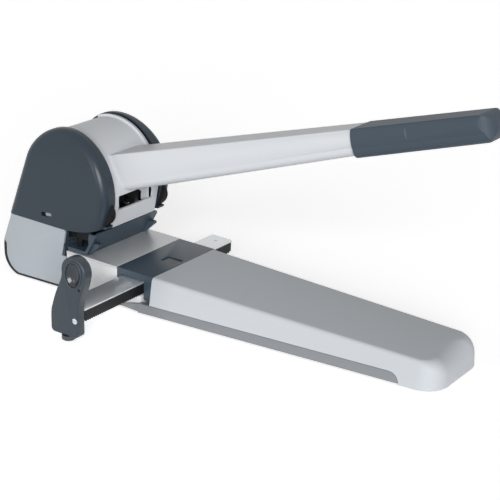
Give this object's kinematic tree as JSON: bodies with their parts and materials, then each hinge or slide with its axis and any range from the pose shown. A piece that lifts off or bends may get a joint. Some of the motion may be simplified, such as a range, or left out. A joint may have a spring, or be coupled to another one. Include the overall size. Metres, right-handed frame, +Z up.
{
  "type": "paper punch",
  "caption": "Heavy-duty lever paper punch: drum head with racks and hollow punches, long lever, paper tray and sliding side guide.",
  "frame": {"origin": "middle of the whole object's box, on the table", "axes": "+Z up, +Y towards the rear of the head, +X to the right of a person who stands at the lever"},
  "size_m": [0.2528, 0.5558, 0.2544],
  "materials": {
    "silver_paint": "satin",
    "panel_paint": "satin",
    "light_paint": "satin",
    "slate_plastic": "satin",
    "slate_grip": "matte",
    "grey_plastic": "matte",
    "black_plastic": "matte",
    "button_plastic": "gloss",
    "window_plastic": "gloss",
    "black_rubber": "matte",
    "platform_steel": "brushed",
    "frame_steel": "satin",
    "hardened_steel": "polished",
    "blackened_steel": "satin",
    "bright_steel": "polished",
    "bush_bronze": "satin"
  },
  "bodies": {
    "base": {"base_casting": "light_paint", "base_pan": "black_plastic", "chassis_plate": "frame_steel", "platform_plate": "platform_steel", "die_block": "hardened_steel", "die_left": "hardened_steel", "die_right": "hardened_steel", "back_stop": "slate_plastic", "side_panel_left": "panel_paint", "side_panel_right": "panel_paint", "rear_cover": "panel_paint", "tray_cover": "silver_paint", "tray_plinth": "grey_plastic", "rail_bridge": "slate_plastic", "format_window": "window_plastic", "rail_glides": "black_plastic", "rail_detent": "bright_steel", "rubber_feet": "black_rubber", "side_frame_left": "frame_steel", "side_frame_right": "frame_steel", "bearing_bush_left": "bush_bronze", "bearing_bush_right": "bush_bronze", "tie_bars": "frame_steel", "frame_screws": "bright_steel", "guide_column_left": "bright_steel", "guide_column_right": "bright_steel", "cap_left": "slate_plastic", "cap_right": "slate_plastic", "cap_bumper_left": "black_rubber", "cap_bumper_right": "black_rubber", "cap_clips": "button_plastic"},
    "drawer": {"chip_drawer": "black_plastic"},
    "rail": {"guide_rail": "bright_steel", "rail_strip": "black_plastic", "guide_arm": "slate_plastic", "arm_screw": "bright_steel", "arm_foot": "hardened_steel", "button_spring": "bright_steel"},
    "button": {"release_button": "button_plastic"},
    "lever": {"lever_casting": "silver_paint", "lever_grip": "slate_grip", "drum_hub": "hardened_steel", "main_shaft": "bright_steel", "shaft_ring_left": "bright_steel", "shaft_ring_right": "bright_steel", "pinion_left": "hardened_steel", "pinion_right": "hardened_steel"},
    "carriage": {"punch_beam": "blackened_steel", "rack_left": "hardened_steel", "rack_right": "hardened_steel", "punch_left": "blackened_steel", "punch_right": "blackened_steel", "punch_screw_left": "bright_steel", "punch_screw_right": "bright_steel"},
    "presser": {"presser_plate": "slate_plastic", "presser_pins": "bright_steel", "presser_springs": "bright_steel"}
  },
  "joints": [
    {"name": "lever_hinge", "type": "hinge", "parent": "base", "child": "lever", "pos_m": [0.02539, 0.19182, 0.11275], "axis": [-1, 0, 0], "range_deg": [0, 66.5]},
    {"name": "carriage_slide", "type": "slide", "parent": "base", "child": "carriage", "axis": [0, -0.0349, 0.9994], "range_m": [0, 0.0306]},
    {"name": "presser_slide", "type": "slide", "parent": "base", "child": "presser", "axis": [0, -0.0349, 0.9994], "range_m": [0, 0.0265]},
    {"name": "rail_slide", "type": "slide", "parent": "base", "child": "rail", "axis": [1, 0, 0], "range_m": [-0.04, 0.075]},
    {"name": "button_push", "type": "slide", "parent": "rail", "child": "button", "axis": [1, 0, 0], "range_m": [0, 0.002], "stiffness_N_per_m": 400},
    {"name": "drawer_slide", "type": "slide", "parent": "base", "child": "drawer", "axis": [0, 1, 0], "range_m": [0, 0.11]}
  ],
  "couplings": [
    {"joint": "carriage_slide", "follows": "lever_hinge", "m_per_rad": 0.026},
    {"joint": "presser_slide", "follows": "lever_hinge", "m_per_rad": 0.0225}
  ]
}
